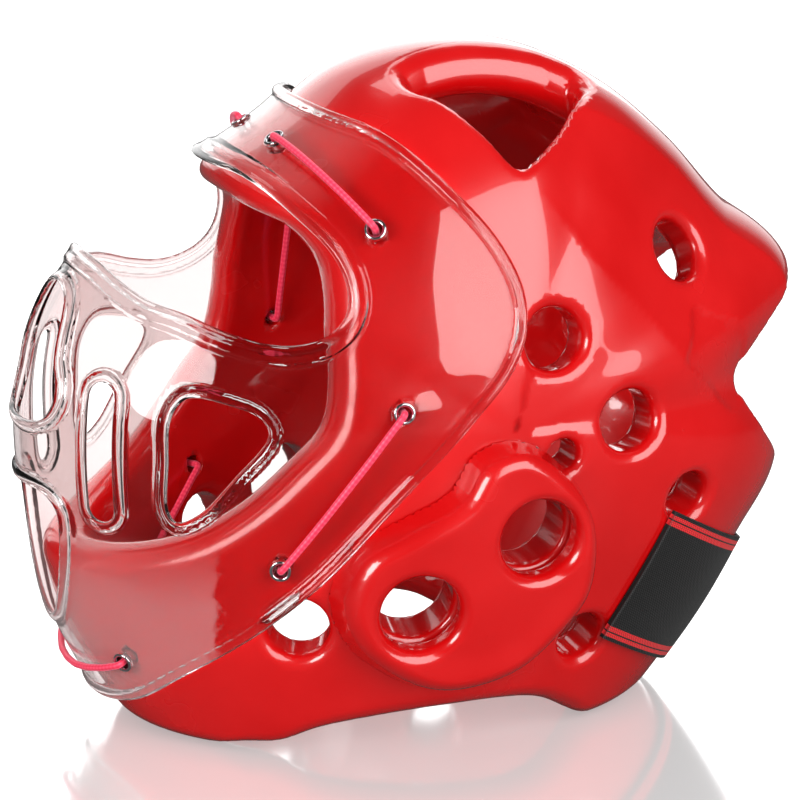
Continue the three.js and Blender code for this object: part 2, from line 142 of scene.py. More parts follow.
def form_level(p):
    """Level 1 on the form: the along share and the across share of a point, each raised to the
    power square, are summed and brought back by one over that power."""
    forward, up = side_view(p)
    place = np.degrees(np.arctan2(up, forward)) / 15.0
    reach, square = closed_table(REACH, place), closed_table(SQUARE, place)
    along = np.hypot(forward, up) / reach
    across = np.abs(p[:, 0]) / HALF_WIDTH
    return (along**square + across**square) ** (1.0 / square)


def gradient(field, p, probe=0.4):
    """Central differences of a field at points."""
    rise = np.empty_like(p)
    for axis in range(3):
        step = np.zeros(3)
        step[axis] = probe
        rise[:, axis] = (field(p + step) - field(p - step)) / (2 * probe)
    return rise


def form_distance(p):
    """Millimetres outside the form: how far the level is from 1, over how fast it grows."""
    slope = np.linalg.norm(gradient(form_level, p), axis=1)
    return (form_level(p) - 1.0) / slope


print("form:", len(REACH), "directions, widest reach", REACH.max(), "mm")

# %% [markdown]
# ## Outlines on the form
#
# The openings were drawn as a few points of the side, front or top view. A centripetal
# Catmull-Rom curve joins them smoothly without loops, and the signed distance to that outline
# later tells how near a point is to the edge of a hole, which is what rounds an edge or raises
# a bead round it.

# %% Outline helpers
def smooth_outline(points, steps=5):
    """A closed centripetal Catmull-Rom curve: each span's knots are the square roots of the
    distances between its points, and each new point is a pyramid of straight blends."""
    p1 = np.asarray(points, float)
    p0, p2, p3 = np.roll(p1, 1, 0), np.roll(p1, -1, 0), np.roll(p1, -2, 0)

    def knot(a, b):
        return np.sqrt(np.maximum(np.linalg.norm(b - a, axis=1), 1e-6))[:, None, None]

    t1 = knot(p0, p1)
    t2 = t1 + knot(p1, p2)
    t3 = t2 + knot(p2, p3)
    t = t1 + (t2 - t1) * (np.arange(steps) / steps)[None, :, None]
    p0, p1, p2, p3 = (p[:, None, :] for p in (p0, p1, p2, p3))

    def mix(a, b, ta, tb):
        return (a * (tb - t) + b * (t - ta)) / (tb - ta)

    low, mid, high = mix(p0, p1, 0 * t1, t1), mix(p1, p2, t1, t2), mix(p2, p3, t2, t3)
    return mix(mix(low, mid, 0 * t1, t2), mix(mid, high, t1, t3), t1, t2).reshape(-1, 2)


def outline_distance(x, y, outline):
    """Signed distance to a closed outline, less than 0 inside: the least distance to its edges,
    with a sign that turns at each crossing of a ray."""
    nearest = np.full(x.shape, np.inf)
    inside = np.zeros(x.shape, bool)
    for (ax, ay), (bx, by) in zip(outline, np.roll(outline, -1, 0)):
        dx, dy = bx - ax, by - ay
        share = np.clip(((x - ax) * dx + (y - ay) * dy) / (dx * dx + dy * dy + 1e-12), 0, 1)
        away = (x - ax - share * dx) ** 2 + (y - ay - share * dy) ** 2
        nearest = np.minimum(nearest, away)
        crossing = (ay > y) != (by > y)
        if abs(dy) > 1e-12:
            inside ^= crossing & (x < ax + (y - ay) * dx / dy)
    return np.where(inside, -1.0, 1.0) * np.sqrt(nearest)


def side_outline(rows, steps=5):
    """A side-view table of shares as a smooth outline in millimetres."""
    return smooth_outline(np.array(rows) * HALF_LENGTH, steps)


def mirrored_outline(rows, steps=5):
    """Half an outline, across and along, mirrored in the middle plane."""
    half = np.array(rows) * (HALF_WIDTH, HALF_LENGTH)
    other = half[1:-1][::-1] * (-1, 1)
    return smooth_outline(np.concatenate([half, other]), steps)


def round_both(a, b, radius):
    """The common part of two solids given by distances, its meeting edge rounded to a radius."""
    corner = np.hypot(np.maximum(radius + a, 0), np.maximum(radius + b, 0))
    return np.minimum(np.maximum(a, b), -radius) + corner


# %% The openings of the guard and of the mask
face_opening = side_outline([
    (1.3, 0.95), (0.72, 0.78), (0.59, 0.6), (0.54, 0.505), (0.447, 0.455), (0.406, 0.395),
    (0.402, 0.31), (0.412, 0.22), (0.412, 0.136), (0.435, 0.019), (0.504, -0.065),
    (0.612, -0.178), (0.721, -0.258), (0.858, -0.312), (0.98, -0.335), (1.3, -0.36),
])
neck_arch = side_outline([
    (0.64, -0.92), (0.6, -0.826), (0.52, -0.806), (0.43, -0.76), (0.3, -0.732), (0.13, -0.716),
    (-0.03, -0.714), (-0.12, -0.73), (-0.19, -0.768), (-0.24, -0.81), (-0.27, -0.92),
])
mask_rim = side_outline([
    (0.5, 0.86), (0.371, 0.735), (0.239, 0.683), (0.123, 0.573), (0.03, 0.452), (-0.017, 0.338),
    (-0.017, 0.246), (0.019, 0.155), (0.104, 0.053), (0.29, -0.146), (0.464, -0.346),
    (0.59, -0.468), (0.751, -0.61), (0.845, -0.715), (0.92, -0.748), (1.0, -0.752),
    (1.5, -0.76), (1.5, 0.8),
])
eye_opening = side_outline([
    (0.9, 0.75), (0.615, 0.588), (0.535, 0.568), (0.462, 0.5), (0.402, 0.425), (0.382, 0.36),
    (0.388, 0.3), (0.415, 0.26), (0.465, 0.232), (0.545, 0.222), (0.642, 0.245), (0.735, 0.284),
    (0.8, 0.305), (0.84, 0.335), (0.89, 0.385), (1.2, 0.5),
])
cheek_slot = side_outline([
    (0.747, 0.1), (0.785, 0.052), (0.795, -0.06), (0.795, -0.175), (0.775, -0.205),
    (0.729, -0.18), (0.656, -0.087), (0.58, 0.02), (0.598, 0.06), (0.668, 0.09),
])
ear_pad_outline = side_outline([
    (0.436, -0.388), (0.387, -0.265), (0.294, -0.209), (0.162, -0.137), (0.105, -0.052),
    (0.003, -0.026), (-0.111, -0.099), (-0.193, -0.235), (-0.193, -0.411), (-0.128, -0.506),
    (-0.017, -0.602), (0.121, -0.641), (0.215, -0.632), (0.315, -0.58), (0.4, -0.5),
])
upper_slot = mirrored_outline([
    (0, 0.305), (0.125, 0.283), (0.17, 0.245), (0.195, 0.2), (0.225, 0.14), (0.265, 0.09),
    (0.27, 0.045), (0.22, 0.0), (0, -0.02),
])
lower_slot = mirrored_outline([
    (0, -0.18), (0.22, -0.185), (0.275, -0.215), (0.28, -0.26), (0.24, -0.36), (0.16, -0.46),
    (0.08, -0.515), (0, -0.53),
])
rear_opening = mirrored_outline([
    (0, 0.24), (0.35, 0.235), (0.5, 0.19), (0.6, 0.07), (0.62, -0.03), (0.58, -0.13),
    (0.46, -0.2), (0.3, -0.235), (0, -0.25),
])
STRIP_HALF = 23.0
crown_rows = np.array([
    (0.0, 0.1), (0.14, 0.095), (0.33, 0.04), (0.5, -0.015), (0.62, -0.065), (0.6, -0.1),
    (0.44, -0.2), (0.25, -0.28), (0.0, -0.31),
])
crown_opening = smooth_outline((STRIP_HALF, 0) + crown_rows * (HALF_WIDTH - STRIP_HALF, HALF_LENGTH))
print("outlines of the guard and the mask drawn")

# %% [markdown]
# ## Places on the form
#
# Vent holes, ferrules and the lace all leave the form square to its surface. A place is given
# as a direction from the centre. Dividing by the level puts it on the surface, and the gradient
# of the level gives the way out.

# %% Places and their outward directions
def on_form(row):
    """The surface point in a direction given as forward, across and up shares."""
    forward, across, up = row
    reach = np.array([across * HALF_WIDTH, -forward * HALF_LENGTH, up * HALF_LENGTH])
    level = form_level((FORM_CENTRE + reach)[None, :])[0]
    return FORM_CENTRE + reach / level


def way_out(point):
    """The unit outward direction of the form at a point."""
    return unit(gradient(form_level, point[None, :]))[0]


VENT, LOW_VENT, SMALL_VENT, EAR_HOLE = 10.5, 8.5, 5.5, 13.5
vents = [
    ((-0.507, 0.74, 0.377), VENT), ((-0.109, 0.98, 0.209), VENT), ((-0.309, 0.96, -0.013), VENT),
    ((-0.126, 0.99, -0.075), SMALL_VENT), ((-0.487, 0.86, -0.236), LOW_VENT),
    ((-0.207, 0.84, -0.552), LOW_VENT), ((0.483, 0.76, -0.456), VENT),
]
ear_holes = [(0.233, 0.91, -0.401), (-0.038, 0.98, -0.247)]
oval_slot = (0.918, 0.445, -0.055)
stations = {
    "brow": (0.453, 0.22, 0.664), "temple": (0.294, 0.74, 0.469), "cheek": (0.28, 0.97, 0.065),
    "jaw": (0.546, 0.8, -0.314), "chin": (0.867, 0.36, -0.607),
}


def bore_distance(p, row, radius):
    """Distance outside a round bore along the form's outward direction at a place."""
    point = on_form(row)
    out = way_out(point)
    q = p - point
    along = q @ out
    return np.sqrt(np.maximum((q * q).sum(1) - along * along, 0)) - radius


for name, row in stations.items():
    print("ferrule", name, np.round(on_form(row), 1).tolist())

# %% [markdown]
# ## A surface from a distance field
#
# Rounded holes in a thick soft wall are hard to model by hand and easy to describe by distance.
# A surface net turns such a description into a mesh: a grid samples the field, each cell that
# the surface crosses gets one vertex, and each crossed grid edge gets one four-sided face. The
# vertices are then moved onto the exact surface, so the gloss shows no trace of the grid.

# %% Surface net
def net_vertices(values):
    """One vertex per crossed cell, in grid steps: the mean of its edges' zero crossings."""
    inside = values < 0
    shape = np.array(values.shape) - 1
    parts = [inside[i : i + shape[0], j : j + shape[1], k : k + shape[2]]
             for i in (0, 1) for j in (0, 1) for k in (0, 1)]
    count = sum(part.astype(np.int8) for part in parts)
    cells = np.argwhere((count > 0) & (count < 8))
    corners = np.array([(i, j, k) for i in (0, 1) for j in (0, 1) for k in (0, 1)])
    at = [values[tuple((cells + c).T)] for c in corners]
    total, hits = np.zeros((len(cells), 3)), np.zeros(len(cells))
    for a in range(8):
        for b in range(a + 1, 8):
            if np.abs(corners[a] - corners[b]).sum() != 1:
                continue
            crossed = (at[a] < 0) != (at[b] < 0)
            share = np.where(crossed, at[a] / np.where(crossed, at[a] - at[b], 1), 0)
            crossing = corners[a] + share[:, None] * (corners[b] - corners[a])
            total += np.where(crossed[:, None], crossing, 0)
            hits += crossed
    number = np.full(shape, -1, np.int64)
    number[tuple(cells.T)] = np.arange(len(cells))
    return cells + total / hits[:, None], number, inside


def net_faces(number, inside):
    """One quad per crossed grid edge, through the four cells round it, facing outwards."""
    faces = []
    for axis in range(3):
        u, v = (axis + 1) % 3, (axis + 2) % 3
        low = np.take(inside, range(inside.shape[axis] - 1), axis)
        high = np.take(inside, range(1, inside.shape[axis]), axis)
        edges = np.argwhere(low != high)
        edges = edges[(edges[:, u] > 0) & (edges[:, v] > 0)]
        edges = edges[(edges[:, u] < number.shape[u]) & (edges[:, v] < number.shape[v])]
        leaving = low[tuple(edges.T)]
        round_edge = []
        for du, dv in ((-1, -1), (0, -1), (0, 0), (-1, 0)):
            cell = edges.copy()
            cell[:, u] += du
            cell[:, v] += dv
            round_edge.append(number[tuple(cell.T)])
        quads = np.stack(round_edge, 1)
        quads[~leaving] = quads[~leaving][:, ::-1]
        faces.append(quads)
    return np.concatenate(faces)


def even_out(points, faces, normals):
    """Each vertex moved half way to the mean of its neighbours, along the surface only."""
    total, count = np.zeros_like(points), np.zeros(len(points))
    for k in range(4):
        for a, b in ((faces[:, k], faces[:, k - 1]), (faces[:, k - 1], faces[:, k])):
            count += np.bincount(a, minlength=len(points))
            for axis in range(3):
                total[:, axis] += np.bincount(a, points[b, axis], len(points))
    move = total / count[:, None] - points
    return points + 0.5 * (move - (move * normals).sum(1)[:, None] * normals)


def settle(points, faces, field, step):
    """Newton steps onto the surface along the field's own slope, none longer than half a cell,
    with the vertices evened out between them. Gives the points and their unit normals."""
    for turn in range(3):
        slope = gradient(field, points, 0.25)
        length = np.maximum(np.linalg.norm(slope, axis=1), 0.22)
        for _ in range(2):
            move = np.clip(field(points) / length**2, -0.5 * step, 0.5 * step)
            points = points - move[:, None] * slope
        if turn < 2:
            points = even_out(points, faces, slope / length[:, None])
    slope = gradient(field, points, 0.25)
    return points, slope / np.maximum(np.linalg.norm(slope, axis=1), 1e-9)[:, None]


def sample_half(field, low, high, step, band):
    """The field on the left half of a grid, exact near the form and rough elsewhere."""
    counts = [int(math.ceil((high[k] - low[k]) / step)) + 1 for k in range(3)]
    axes = [low[k] + step * np.arange(counts[k]) for k in range(3)]
    values = np.empty(counts)
    for i, x in enumerate(axes[0]):
        y, z = np.meshgrid(axes[1], axes[2], indexing="ij")
        p = np.stack([np.full(y.size, x), y.ravel(), z.ravel()], 1)
        rough = (form_level(p) - 1.0) * 100.0
        near = (rough > band[0]) & (rough < band[1])
        found = np.full(len(p), 50.0)
        if near.any():
            found[near] = field(p[near])
        values[i] = found.reshape(y.shape)
    return values


def mesh_piece(name, points, faces, smooth=True):
    """Points in millimetres and faces as a mesh object, its place in its mesh."""
    mesh = bpy.data.meshes.new(name)
    mesh.from_pydata((points * MM).tolist(), [], faces.tolist())
    mesh.update()
    mesh.polygons.foreach_set("use_smooth", [smooth] * len(mesh.polygons))
    piece = bpy.data.objects.new(name, mesh)
    bpy.context.scene.collection.objects.link(piece)
    return piece


def corner_vertices(piece):
    """The vertex number at each corner of each face."""
    corners = np.empty(len(piece.data.loops), int)
    piece.data.loops.foreach_get("vertex_index", corners)
    return corners


def uv_map(piece, name, values):
    """A named UV map with a pair of values for each corner of each face."""
    layer = piece.data.uv_layers.new(name=name)
    layer.data.foreach_set("uv", values.astype(np.float32).ravel())


def field_piece(name, field, low, high, step, band, both_sides):
    """The surface where a field is zero, as a mesh object. A field that mirrors in the middle
    plane is sampled on the left only and its values are mirrored."""
    values = sample_half(field, low, high, step, band)
    corner = np.array(low, float)
    if both_sides:
        values = np.concatenate([values[:0:-1], values])
        corner[0] = -(values.shape[0] // 2) * step
    cells, number, inside = net_vertices(values)
    faces = net_faces(number, inside)
    points, normals = settle(corner + cells * step, faces, field, step)
    print(name, len(points), "vertices,", 2 * len(faces), "triangles")
    piece = mesh_piece(name, points, faces)
    piece.data.normals_split_custom_set_from_vertices(normals.tolist())
    return piece


# %% [markdown]
# ## The foam guard
#
# The real guard is an 18 mm foam wall whose every edge is rolled round, because the foam was
# cut and pressed before it was dipped. So the wall is all that lies less than 18 mm under the
# skin, and each opening is taken away with an edge radius of its own: up to 9 mm at the big
# openings and 3 to 4.5 mm at the vents. The moulding also has a ridge on each side of a broad
# band down the back of the crown, a diagonal crease from temple to nape with a shallow dip
# behind it, and a pressed panel beside the notch.

# %% Relief of the guard
crease_line = np.array([
    (-0.108, 0.537), (-0.228, 0.371), (-0.331, 0.273), (-0.434, 0.148), (-0.498, 0.063),
    (-0.611, -0.039), (-0.725, -0.143),
]) * HALF_LENGTH
nape_panel = side_outline([
    (-0.504, 0.232), (-0.562, 0.212), (-0.64, 0.176), (-0.682, 0.115), (-0.701, 0.025),
    (-0.687, -0.035), (-0.63, -0.048), (-0.541, 0.041), (-0.463, 0.108), (-0.486, 0.165),
])
BAND_HALF = 45.0
RIDGE_DIP = 2.6
RIDGE_WIDTH = 13.0
CREASE_DIP = 1.8
CREASE_WIDTH = 20.0
PANEL_DIP = 0.9


def smooth_step(value, low, high):
    """0 below low, 1 above high, and a smooth S between."""
    share = np.clip((value - low) / (high - low), 0, 1)
    return share * share * (3 - 2 * share)


def line_distance(x, y, line):
    """Distance to an open line of points on its rear side, and 0 on the other side."""
    nearest = np.full(x.shape, np.inf)
    rear = np.zeros(x.shape, bool)
    for (ax, ay), (bx, by) in zip(line[:-1], line[1:]):
        dx, dy = bx - ax, by - ay
        share = np.clip(((x - ax) * dx + (y - ay) * dy) / (dx * dx + dy * dy), 0, 1)
        away = np.hypot(x - ax - share * dx, y - ay - share * dy)
        rear = np.where(away < nearest, (x - ax) * dy > (y - ay) * dx, rear)
        nearest = np.minimum(nearest, away)
    return np.where(rear, nearest, 0.0)


def guard_relief(p, forward, up):
    """Millimetres that the outer skin stands proud: the sides dip beside a broad band down the
    back and leave a ridge on each side of it, and beyond a diagonal crease too. Such a dip is its
    distance times an exponential. A pressed panel has soft edges."""
    pitch = np.degrees(np.arctan2(up, forward)) % 360
    behind = smooth_step(pitch, 96, 112) * (1 - smooth_step(pitch, 176, 190))
    beside = (np.hypot(np.maximum(np.abs(p[:, 0]) - BAND_HALF, 0), 1.0) - 1.0) / RIDGE_WIDTH
    ridge = -RIDGE_DIP * behind * beside * np.exp(1 - beside)
    beyond = (np.hypot(line_distance(forward, up, crease_line), 1.0) - 1.0) / CREASE_WIDTH
    ends = smooth_step(up, -30, 5) * (1 - smooth_step(up, 55, 85))
    crease = -CREASE_DIP * beyond * np.exp(1 - beyond) * ends
    inside_panel = 1 - smooth_step(outline_distance(forward, up, nape_panel), -2.5, 1.0)
    return ridge + crease - PANEL_DIP * inside_panel


# %% The guard as a distance field
REST_DEPTH = 115.0
NAPE_SLIT, NAPE_SLIT_TOP = 7.0, -35.0
LACE_HOLE = 3.0
FACE_EDGE, NECK_EDGE, REAR_EDGE, SLIT_EDGE, REST_EDGE = 8.0, 7.0, 4.0, 5.0, 6.0
CROWN_EDGE, CROWN_OUTER_EDGE = 9.0, 5.5
VENT_EDGE, SMALL_VENT_EDGE, EAR_HOLE_EDGE, LACE_HOLE_EDGE = 4.5, 3.0, 2.0, 1.2
FAR_OFF = 60.0


def guard_field(p):
    """Distance outside the guard: the wall, cut by each opening with its own edge radius. An
    opening of the crown or the back is far off for points on the other side."""
    p = p.copy()
    p[:, 0] = np.abs(p[:, 0])
    forward, up = side_view(p)
    skin = form_distance(p)
    solid = np.maximum(skin - guard_relief(p, forward, up), -(skin + FOAM_WALL))
    crown_edge = CROWN_EDGE - (CROWN_EDGE - CROWN_OUTER_EDGE) * smooth_step(p[:, 0], 30, 42)
    crown = np.where(up > 40, outline_distance(p[:, 0], forward, crown_opening), FAR_OFF)
    rear = np.where(forward < 0, outline_distance(p[:, 0], up, rear_opening), FAR_OFF)
    slit = np.where(forward < 0, np.maximum(p[:, 0] - NAPE_SLIT, up - NAPE_SLIT_TOP), FAR_OFF)
    cuts = [
        (outline_distance(forward, up, face_opening), FACE_EDGE),
        (outline_distance(forward, up, neck_arch), NECK_EDGE),
        (crown, crown_edge), (rear, REAR_EDGE), (slit, SLIT_EDGE),
    ]
    for row, radius in vents:
        edge = VENT_EDGE if radius > SMALL_VENT else SMALL_VENT_EDGE
        cuts.append((bore_distance(p, row, radius), edge))
    cuts += [(bore_distance(p, row, EAR_HOLE), EAR_HOLE_EDGE) for row in ear_holes]
    cuts += [(bore_distance(p, row, LACE_HOLE), LACE_HOLE_EDGE) for row in stations.values()]
    cuts.append((up + REST_DEPTH, REST_EDGE))
    for distance, radius in cuts:
        solid = round_both(solid, -distance, radius)
    return solid


GRID = 2.2
guard = field_piece("foam_guard", guard_field, (0, -140, -6), (98, 152, 242), GRID, (-26, 8), True)
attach(guard, "root")
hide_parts("shell")

# %% [markdown]
# ## The ear pads
#
# Each ear pad is a second, smaller moulding glued over the ear. Its face follows the head form
# 13 mm further out, its side wall drafts outward to the foot, and its shoulder and both ear
# holes are rolled. It is the same kind of field, on one side only. The right one is the left
# one's mirror image, with its faces turned round again so that they still face outwards.

# %% The ear pads
PAD_RISE, PAD_FOOT = 13.0, 0.35
PAD_DRAFT, PAD_DRAFT_LEVEL = 0.28, 4.0
PAD_DIP, PAD_SHOULDER, PAD_HOLE_EDGE = 1.2, 4.2, 4.5


def ear_pad_field(p):
    """Distance outside the left ear pad: between the foam skin and its slightly dished face,
    inside an outline that widens towards the foot, less the two ear holes."""
    forward, up = side_view(p)
    skin = form_distance(p)
    outline = outline_distance(forward, up, ear_pad_outline)
    side = outline + PAD_DRAFT * (skin - PAD_DRAFT_LEVEL)
    dip = PAD_DIP * smooth_step(-outline, 4.0, 16.0)
    solid = round_both(skin - PAD_RISE + dip, side, PAD_SHOULDER)
    solid = np.maximum(solid, PAD_FOOT - skin)
    solid = np.maximum(solid, -p[:, 0])
    for row in ear_holes:
        solid = round_both(solid, -bore_distance(p, row, EAR_HOLE), PAD_HOLE_EDGE)
    return solid


PAD_GRID = 1.3
ear_pad_left = field_piece(
    "ear_pad_cover_left", ear_pad_field, (60, -62, 18), (106, 52, 120), PAD_GRID, (-6, 24), False
)
points = np.empty(len(ear_pad_left.data.vertices) * 3)
ear_pad_left.data.vertices.foreach_get("co", points)
ear_pad_right = mesh_piece(
    "ear_pad_cover_right", points.reshape(-1, 3) / MM * (-1, 1, 1),
    corner_vertices(ear_pad_left).reshape(-1, 4)[:, ::-1],
)
for side, pad in (("left", ear_pad_left), ("right", ear_pad_right)):
    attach(pad, "root")
    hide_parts("ear_pad_" + side)

# %% [markdown]
# ## The clear face mask
#
# The mask is a sheet of clear polycarbonate, heat formed over a mould, about 2 mm thick. Every
# edge has a raised flange and a round bead that stiffen it, and that bead is what the eye sees:
# it bends the light into a bright and a dark line. A true bead needs the distance to the edge
# measured along the sheet, so each flat outline distance is divided by how steeply the sheet
# meets that view.

# %% The mask as a distance field
MASK_MIDDLE = 2.8
SHEET_HALF = 0.95
BEAD = 1.25
STEP_RISE = 1.1
STEP_RUN = 1.8
FLANGE, EYE_FLANGE = 2.6, 5.6
OVAL_HALF_WIDTH, OVAL_HALF_HEIGHT = 5.5, 24.0
MASK_HOLE = 3.2
SHEET_EDGE = 0.7
JOINT = 1.0


def view_slope(normal, outline_slope):
    """How fast an outline distance grows along a sheet: the part of its slope in the sheet."""
    along = (normal * outline_slope).sum(1)
    return np.sqrt(np.maximum(1 - along * along, 0.12))


def flat_slope(x, y, outline, probe=0.5):
    """The slope of an outline distance in its own view, by central differences."""
    dx = outline_distance(x + probe, y, outline) - outline_distance(x - probe, y, outline)
    dy = outline_distance(x, y + probe, outline) - outline_distance(x, y - probe, outline)
    length = np.maximum(np.hypot(dx, dy), 1e-6)
    return dx / length, dy / length


def sheet_edge(p, normal, outline, view):
    """Distance along the sheet to an outline drawn in the side or the front view."""
    forward, up = side_view(p)
    x = forward if view == "side" else p[:, 0]
    distance = outline_distance(x, up, outline)
    near = np.abs(distance) < 12
    slope = np.ones_like(distance)
    if near.any():
        dx, dz = flat_slope(x[near], up[near], outline)
        across = dx if view == "front" else np.zeros_like(dx)
        ahead = -dx if view == "side" else np.zeros_like(dx)
        slope[near] = view_slope(normal[near], np.stack([across, ahead, dz], 1))
    return distance / slope


def capsule_distance(p, row, half_width, half_height):
    """Distance to an upright slot with round ends, drawn square to the form at a place."""
    point = on_form(row)
    out = way_out(point)
    across = unit(np.cross((0, 0, 1), out))
    along = np.cross(out, across)
    q = p - point
    y = np.maximum(np.abs(q @ along) - (half_height - half_width), 0)
    return np.hypot(q @ across, y) - half_width


def step_up(edge, width):
    """How far the sheet is raised beside an edge: a level flange of a width, then an S down."""
    return STEP_RISE * (1 - smooth_step(edge, width, width + STEP_RUN))


def mask_field(p):
    """Distance outside the mask: a thin sheet, raised in a flange along each of its edges and
    joined with a round bead that runs a bead's radius inside every edge."""
    p = p.copy()
    p[:, 0] = np.abs(p[:, 0])
    slope = gradient(form_level, p)
    steep = np.linalg.norm(slope, axis=1)
    normal = slope / steep[:, None]
    rim = -sheet_edge(p, normal, mask_rim, "side")
    eye = sheet_edge(p, normal, eye_opening, "side")
    ahead = side_view(p)[0] > 0
    slots = [
        sheet_edge(p, normal, cheek_slot, "side"),
        capsule_distance(p, oval_slot, OVAL_HALF_WIDTH, OVAL_HALF_HEIGHT),
    ]
    for outline in (upper_slot, lower_slot):
        slots.append(np.where(ahead, sheet_edge(p, normal, outline, "front"), FAR_OFF))
    slot = np.minimum.reduce(slots)
    edge = np.minimum(np.minimum(rim, eye), slot)
    rise = np.maximum.reduce([step_up(rim, FLANGE), step_up(eye, EYE_FLANGE), step_up(slot, FLANGE)])
    bores = np.minimum.reduce([bore_distance(p, row, MASK_HOLE) for row in stations.values()])
    rise = rise * smooth_step(bores, 1.0, 3.0)
    across = (form_level(p) - 1.0) / steep - MASK_MIDDLE - rise
    bead = np.hypot(edge - BEAD, across) - BEAD
    edge = np.minimum(edge, bores)
    sheet = round_both(np.abs(across) - SHEET_HALF, -edge, SHEET_EDGE)
    joint = np.clip(0.5 + 0.5 * (sheet - bead) / JOINT, 0, 1)
    return sheet + (bead - sheet) * joint - JOINT * joint * (1 - joint)


# %% The mask's own grid
# The sheet is thin and wide, so a grid of cubes would be wasteful and would stair-step in the
# gloss. This grid follows the form instead: azimuth, elevation and height above the form.
MASK_COLUMNS, MASK_ROWS, MASK_LAYERS = ((150, 190, 13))
AZIMUTH_END, LOW_END, HIGH_END = math.radians(101), math.radians(-50), math.radians(76)
HEIGHT_LOW, HEIGHT_HIGH = 1.2, 6.0


def over_form(share, rise, height):
    """A point at an azimuth, closer spaced at the narrow side, an elevation and a height: the
    ray's point on the form, moved out square to it."""
    azimuth = AZIMUTH_END * share * (1 + 0.36 * np.abs(share)) / 1.36
    elevation = LOW_END + (HIGH_END - LOW_END) * rise
    ray = np.stack([np.sin(azimuth) * np.cos(elevation), -np.cos(azimuth) * np.cos(elevation),
                    np.sin(elevation)], 1) * HALF_WIDTH
    foot = FORM_CENTRE + ray / form_level(FORM_CENTRE + ray)[:, None]
    return foot + height[:, None] * unit(gradient(form_level, foot))


def mask_place(cells):
    """Where a place in the mask's grid, in grid steps, lies in space."""
    share = cells[:, 0] / MASK_COLUMNS - 1.0
    height = HEIGHT_LOW + (HEIGHT_HIGH - HEIGHT_LOW) * cells[:, 2] / MASK_LAYERS
    return over_form(share, cells[:, 1] / MASK_ROWS, height)


left_cells = np.stack([m.ravel() for m in np.meshgrid(
    np.arange(MASK_COLUMNS, 2 * MASK_COLUMNS + 1), np.arange(MASK_ROWS + 1), np.arange(MASK_LAYERS + 1),
    indexing="ij")], 1).astype(float)
left_values = mask_field(mask_place(left_cells))
left_values = left_values.reshape(MASK_COLUMNS + 1, MASK_ROWS + 1, MASK_LAYERS + 1)
left_values = np.where(np.abs(left_values) < 1e-6, 1e-6, left_values)
mask_cells, number, inside = net_vertices(np.concatenate([left_values[:0:-1], left_values]))
faces = net_faces(number, inside)
points, normals = settle(mask_place(mask_cells), faces, mask_field, 0.8)
mask = mesh_piece("clear_face_mask", points, faces)
mask.data.normals_split_custom_set_from_vertices(normals.tolist())
print("clear_face_mask", len(points), "vertices,", 2 * len(faces), "triangles")
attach(mask, "root")
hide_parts("face_mask")

# %% [markdown]
# ## The ferrules
#
# Each lace hole is lined with a small chromed ferrule: a rolled flange on the mask and a barrel
# down to the foam. Such a turned part is a profile spun about an axis, so it is one grid of two
# parameters, closed both ways.

# %% Grid helper and the ferrules
def grid_faces(rows, columns, close_rows, close_columns):
    """Quads of a grid of points, row by row, joined at the ends where it closes."""
    r = np.arange(rows if close_rows else rows - 1)
    c = np.arange(columns if close_columns else columns - 1)
    r, c = (m.ravel() for m in np.meshgrid(r, c, indexing="ij"))
    r2, c2 = (r + 1) % rows, (c + 1) % columns
    return np.stack([r * columns + c, r2 * columns + c, r2 * columns + c2, r * columns + c2], 1)


ferrule_profile = smooth_outline([
    (2.3, -1.0), (2.5, -1.2), (2.7, -1.0), (2.72, 1.2), (2.72, 3.2), (2.85, 3.8), (3.3, 3.95),
    (3.62, 4.2), (3.6, 4.65), (3.2, 4.9), (2.75, 4.85), (2.4, 4.5), (2.3, 3.5), (2.3, 1.2),
], 3)
SPIN = 40


def spun_ring(profile, point, out):
    """A closed profile of radius and height spun about an axis through a point."""
    side = unit(np.cross((0, 0, 1), out))
    up = np.cross(out, side)
    turn = 2 * np.pi * np.arange(SPIN) / SPIN
    spoke = np.cos(turn)[:, None] * side + np.sin(turn)[:, None] * up
    radius, height = profile[:, 0], profile[:, 1]
    return point + radius[None, :, None] * spoke[:, None, :] + height[None, :, None] * out


ferrules = []
for name, row in stations.items():
    for side, sign in (("left", 1), ("right", -1)):
        point = on_form(row) * (sign, 1, 1)
        out = way_out(on_form(row)) * (sign, 1, 1)
        ring = spun_ring(ferrule_profile, point, out).reshape(-1, 3)
        faces = grid_faces(SPIN, len(ferrule_profile), True, True)
        ferrule = mesh_piece(f"ferrule_{name}_{side}", ring, faces)
        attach(ferrule, "root")
        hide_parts(f"eyelet_{name}_{side}")
        ferrules.append(ferrule)
print(len(ferrules), "ferrules")

# %% [markdown]
# ## The lace
#
# One elastic lace, 2.4 mm thick and finely braided, holds the mask. It runs over the mask from
# brow to temple and from cheek to jaw, crosses the chin, and passes inside the foam between. It is
# held all the way, so its route is a loop through the ten ferrules. The corners of that route
# are softened by averaging each point with its neighbours, and a round section is carried along.

# %% The lace's route
LACE = 1.2
LACE_STEP = 0.7
UNDER = -(FOAM_WALL + 1.0 + LACE)
OVER_FERRULE = 4.9 + LACE
OVER_SHEET = MASK_MIDDLE + STEP_RISE + SHEET_HALF + LACE + 0.3


def lifted(row, height, sign=1):
    """A place on the form moved out by a height, mirrored where sign is -1."""
    point = on_form(row)
    return (point + height * way_out(point)) * (sign, 1, 1)


def run_over(a, b, count=9):
    """Points on the mask between two stations, lower in the middle where the lace lies on it."""
    points = []
    for share in np.linspace(0, 1, count):
        row = [u + (v - u) * share for u, v in zip(a, b)]
        lift = OVER_SHEET + (OVER_FERRULE - OVER_SHEET) * (2 * share - 1) ** 4
        points.append(lifted(row, lift))
    return points


